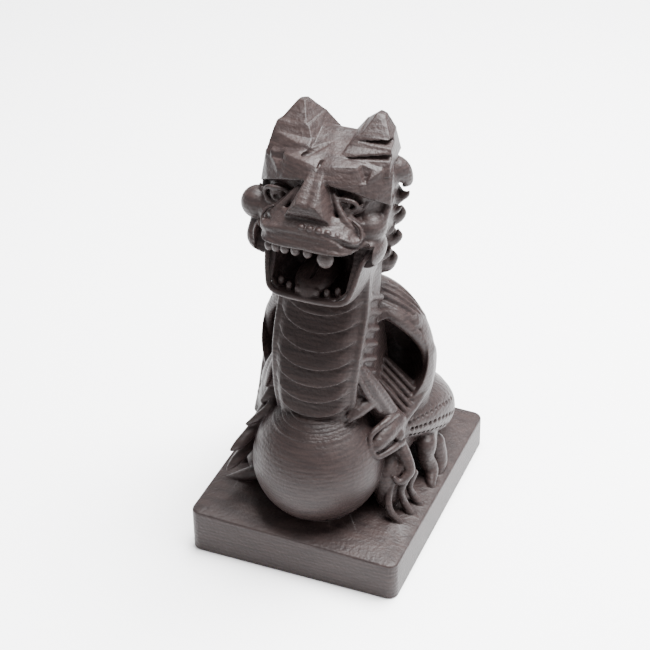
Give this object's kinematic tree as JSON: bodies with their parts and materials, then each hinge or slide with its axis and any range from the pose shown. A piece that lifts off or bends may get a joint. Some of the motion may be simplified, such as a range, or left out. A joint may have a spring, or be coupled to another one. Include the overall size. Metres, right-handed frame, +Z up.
{
  "type": "carved wooden dragon figurine",
  "caption": "Small seated dragon with an open mouth, gripping a large ball, carved in one block of dark hardwood together with its low rectangular plinth",
  "frame": {"origin": "middle of the plinth's flat underside", "axes": "+Z up, -Y the way the dragon faces, +X its left-hand side as it looks out"},
  "size_m": [0.03, 0.0372, 0.062],
  "materials": {
    "dark_wood": "satin, oiled, fine tool lines"
  },
  "bodies": {
    "root": {"carved_dragon": "dark_wood"}
  },
  "joints": []
}
